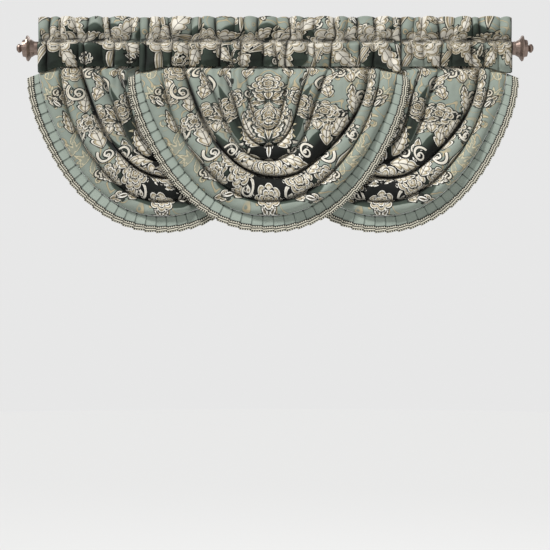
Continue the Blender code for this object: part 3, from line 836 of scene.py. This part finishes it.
def pleatMap(tree):  # the two parts of a pleated strip's map: along in pleats, and the share outwards
    parts = tree.nodes.new("ShaderNodeSeparateXYZ")
    tree.links.new(wire(tree, "ShaderNodeUVMap", {}, uv_map="flat"), parts.inputs[0])
    return parts.outputs[0], parts.outputs[1]


ruffleLook = {
    "roughness": 0.75, "sheen": 0.2, "sage": ((170, 180, 169), (136, 147, 137)),
    "cloudScale": 14.0, "fleckScale": 700.0, "bump": (0.5, 0.0006),
    # painted shadow lines at the pleat folds: scale and reach of their waver, half width, softness and share;
    # then the stitched ticks
    "waverScale": 60.0, "waver": 0.05, "seam": (0.045, 0.02, 0.62), "pleatShadowColour": (44, 52, 48),
    "tick": (0.14, 0.10, 0.02, 0.7), "tickColour": (40, 46, 42),
}


def makeRuffleCloth():
    look = ruffleLook
    material, tree, shader = newFinish("ruffleCloth", look["roughness"], look["sheen"])
    along, out = pleatMap(tree)
    place = wire(tree, "ShaderNodeTexCoord", {}, 3)
    fleck = grainAt(tree, place, look["fleckScale"])
    cloth = cloudy(tree, place, look["cloudScale"], fleck, look["sage"])
    fold = offFrom(tree, sums(tree, "FRACT", along), ruffleDims["foldAt"])
    waver = times(tree, sums(tree, "SUBTRACT", grainAt(tree, place, look["waverScale"]), 0.5), look["waver"])
    # painted shadow: a thin dark line at each pleat's fold, where the pleats overlap
    half, soft, share = look["seam"]
    seam = below(tree, sums(tree, "ADD", fold, waver), half, soft)
    cloth = dyedPart(tree, seam, share, cloth, tint(look["pleatShadowColour"]))
    half, reach, soft, share = look["tick"]
    tick = times(tree, below(tree, fold, half, soft), below(tree, out, reach, soft))
    cloth = dyedPart(tree, tick, share, cloth, tint(look["tickColour"]))
    tree.links.new(cloth, shader.inputs["Base Color"])
    raised(tree, shader, fleck, *look["bump"])
    return material


braidLook = {
    "roughness": 0.65, "sheen": 0.2,
    "cream": ((250, 246, 228), (206, 200, 178)), "black": ((14, 15, 12), (34, 36, 30)),
    "fleckScale": 700.0, "twistRun": 60.0, "twist": (-0.2, 0.5, 0.30), "twistColour": (120, 114, 96),
    # middle and half width of the black cord and of the gap before the picots, as shares of the width
    "blacks": ((0.445, 0.085), (0.765, 0.050)), "blackSoft": 0.02,
    "saw": (0.10, 0.20, 0.03), "picotFrom": (0.76, 0.80), "picotGap": (0.15, 0.35), "bump": (0.6, 0.0008),
}


def makeBraidYarn():
    look = braidLook
    material, tree, shader = newFinish("braidYarn", look["roughness"], look["sheen"])
    along, out = pleatMap(tree)
    beadTurns = 2.0 * math.pi * braidDims["picots"]
    beads = sums(tree, "COSINE", times(tree, along, beadTurns))
    lean = sums(tree, "ADD", times(tree, along, 2.0 * beadTurns), times(tree, out, look["twistRun"]))
    twist = sums(tree, "SINE", lean)
    fleck = grainAt(tree, wire(tree, "ShaderNodeTexCoord", {}, 3), look["fleckScale"])
    colour = between(tree, fleck, look["cream"])
    edge, soft, share = look["twist"]
    colour = dyedPart(tree, below(tree, twist, edge, soft), share, colour, tint(look["twistColour"]))
    black = between(tree, fleck, look["black"])
    for middle, half in look["blacks"]:
        colour = dyed(tree, band(tree, out, middle, half, look["blackSoft"]), colour, black)
    reach, edge, soft = look["saw"]  # the saw-toothed inner edge
    saw = sums(tree, "ADD", out, times(tree, beads, reach))
    colour = dyed(tree, below(tree, saw, edge, soft), colour, black)
    dots = times(tree, ramp(tree, out, *look["picotFrom"]), below(tree, beads, *look["picotGap"]))
    colour = dyed(tree, dots, colour, black)
    tree.links.new(colour, shader.inputs["Base Color"])
    raised(tree, shader, sums(tree, "ADD", twist, fleck), *look["bump"])
    return material


bronzeLook = {
    "roughness": 0.38, "metallic": 0.75, "rose": ((160, 142, 132), (112, 94, 85)),
    "cloudStretch": (1.0, 6.0, 6.0), "cloudScale": 9.0, "brushStretch": (900.0, 14.0, 14.0),
    "rough": (0.3, 0.7, 0.30, 0.50), "bump": (0.12, 0.0003),
}


def makeBronze():
    look = bronzeLook
    material, tree, shader = newFinish("bronze", look["roughness"], 0.0, look["metallic"])
    place = wire(tree, "ShaderNodeTexCoord", {}, 3)
    spread = wire(tree, "ShaderNodeMapping", {"Vector": place, "Scale": look["cloudStretch"]})
    strokes = wire(tree, "ShaderNodeMapping", {"Vector": place, "Scale": look["brushStretch"]})
    brushed = grainAt(tree, strokes, 1.0)
    colour = between(tree, grainAt(tree, spread, look["cloudScale"], 5.0), look["rose"])
    tree.links.new(colour, shader.inputs["Base Color"])
    tree.links.new(ramp(tree, brushed, *look["rough"]), shader.inputs["Roughness"])
    raised(tree, shader, brushed, *look["bump"])
    return material


def makePaleFloor():
    material, _, shader = newFinish("paleFloor", 0.85)
    shader.inputs["Base Color"].default_value = (0.75, 0.75, 0.745, 1.0)
    return material


jacquard = makeJacquard("jacquard", 0.0)
jacquardReverse = makeJacquard("jacquardReverse", 0.62)  # the share by which it is faded
ruffleCloth = makeRuffleCloth()
braidYarn = makeBraidYarn()
bronze = makeBronze()
print("materials mixed")


def dress(piece, material, slot, *nodes):
    piece.data.materials.clear()
    piece.data.materials.append(material)
    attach(piece, "root")
    if nodes:
        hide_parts(*nodes)


def pleatDesign(places, steps, levels):  # u counts the pleats, v is the share of the way out
    return (steps + 1.0) / 2.0 * ruffleDims["pleats"], levels


for which in sides:
    swag = makeSheet(
        f"swagCloth_{which}", swagPlan["columns"], swagPlan["rows"],
        lambda step, row: swagSurface(which, step, row), swagDesign, swagPlan["cloth"],
        swagFigure, weld=True,
    )
    dress(swag, jacquardReverse, "jacquard", f"swag_{which}")
    swag.data.materials.append(jacquard)  # the face, towards the room
    swag.modifiers["cloth"].material_offset = 1
    swag.modifiers["cloth"].material_offset_rim = 1
    heading = makeSheet(
        f"headingCloth_{which}", len(headingDims["gathers"][which]) * headingDims["perGather"],
        (len(headingSection) - 1) * headingDims["perStation"],
        lambda step, row: headingSurface(which, step, row), headingDesign, headingDims["cloth"],
        headingWeave(which),
    )
    dress(heading, jacquard, "jacquard", f"heading_{which}")
    ruffle = makeSheet(
        f"ruffleCloth_{which}", ruffleDims["pleats"] * ruffleDims["perPleat"], ruffleDims["rows"],
        lambda step, row: ruffleSurface(
            which, (step + 1.0) / 2.0, mix(ruffleDims["seam"], depthAlong(step), row), 0.0
        ),
        pleatDesign, ruffleDims["cloth"],
    )
    dress(ruffle, ruffleCloth, "ruffle_cloth", f"ruffle_{which}")
    braid = makeSheet(
        f"braidBand_{which}", ruffleDims["pleats"] * braidDims["perPleat"], braidDims["rows"],
        lambda step, row: braidSurface(which, step, row), pleatDesign, braidDims["thickness"],
    )
    dress(braid, braidYarn, "braid", f"braid_{which}")
    print("valance made:", which)

for name in ("rod", "finial_left", "finial_right"):
    node = bpy.data.objects[name]
    node.data.materials.clear()
    node.data.materials.append(bronze)

# floor, light and camera
stagePlan = {"floorZ": -2.60, "floorReach": 14.0, "distance": 6.0, "eyeZ": -0.876, "lens": 101.6}
floorMesh = bpy.data.meshes.new("floor")
floorShape = bmesh.new()
bmesh.ops.create_circle(floorShape, cap_ends=True, segments=96, radius=stagePlan["floorReach"])
bmesh.ops.translate(floorShape, verts=floorShape.verts, vec=(0.0, 0.0, stagePlan["floorZ"]))
floorShape.to_mesh(floorMesh)
floorShape.free()
floorMesh.materials.append(makePaleFloor())
floor = addThing("floor", floorMesh)

lightPlan = {
    "ambient": 0.29, "background": 0.80,
    "sunPower": 3.4, "sunSoftness": 10.0, "sunFrom": (-1.7, -1.75, 2.9), "target": (0.0, 0.0, -0.35),
    # place, width and height, power
    "fillLight": ((3.0, -3.0, 0.4), (1.6, 1.6), 16.0), "backLight": ((0.6, 3.2, 2.0), (2.0, 1.2), 30.0),
}
world = bpy.data.worlds.new("studio")
world.use_nodes = True
sky = world.node_tree
sky.nodes["Background"].inputs["Color"].default_value = (1.0, 1.0, 1.0, 1.0)
seen = wire(sky, "ShaderNodeLightPath", {}, 0)
shine = ramp(sky, seen, 0.0, 1.0, lightPlan["ambient"], lightPlan["background"])
sky.links.new(shine, sky.nodes["Background"].inputs["Strength"])
bpy.context.scene.world = world
bpy.context.scene.view_settings.view_transform = "Standard"

sunData = bpy.data.lights.new("softSun", "SUN")
sunData.energy = lightPlan["sunPower"]
sunData.angle = math.radians(lightPlan["sunSoftness"])
softSun = addThing("softSun", sunData)
softSun.location = lightPlan["sunFrom"]
softSun.rotation_euler = (-Vector(lightPlan["sunFrom"])).to_track_quat("-Z", "Y").to_euler()


def softLight(name, place, size, power):
    data = bpy.data.lights.new(name, "AREA")
    data.shape = "RECTANGLE"
    data.size, data.size_y = size
    data.energy = power
    lamp = addThing(name, data)
    lamp.location = place
    lamp.rotation_euler = (Vector(lightPlan["target"]) - Vector(place)).to_track_quat("-Z", "Y").to_euler()


for name in ("fillLight", "backLight"):
    softLight(name, *lightPlan[name])

camera = addThing("camera", bpy.data.cameras.new("camera"))
camera.data.lens = stagePlan["lens"]
camera.location = (0.0, -stagePlan["distance"], stagePlan["eyeZ"])
camera.rotation_euler = (math.pi / 2, 0.0, 0.0)
bpy.context.scene.camera = camera
print("stage set")
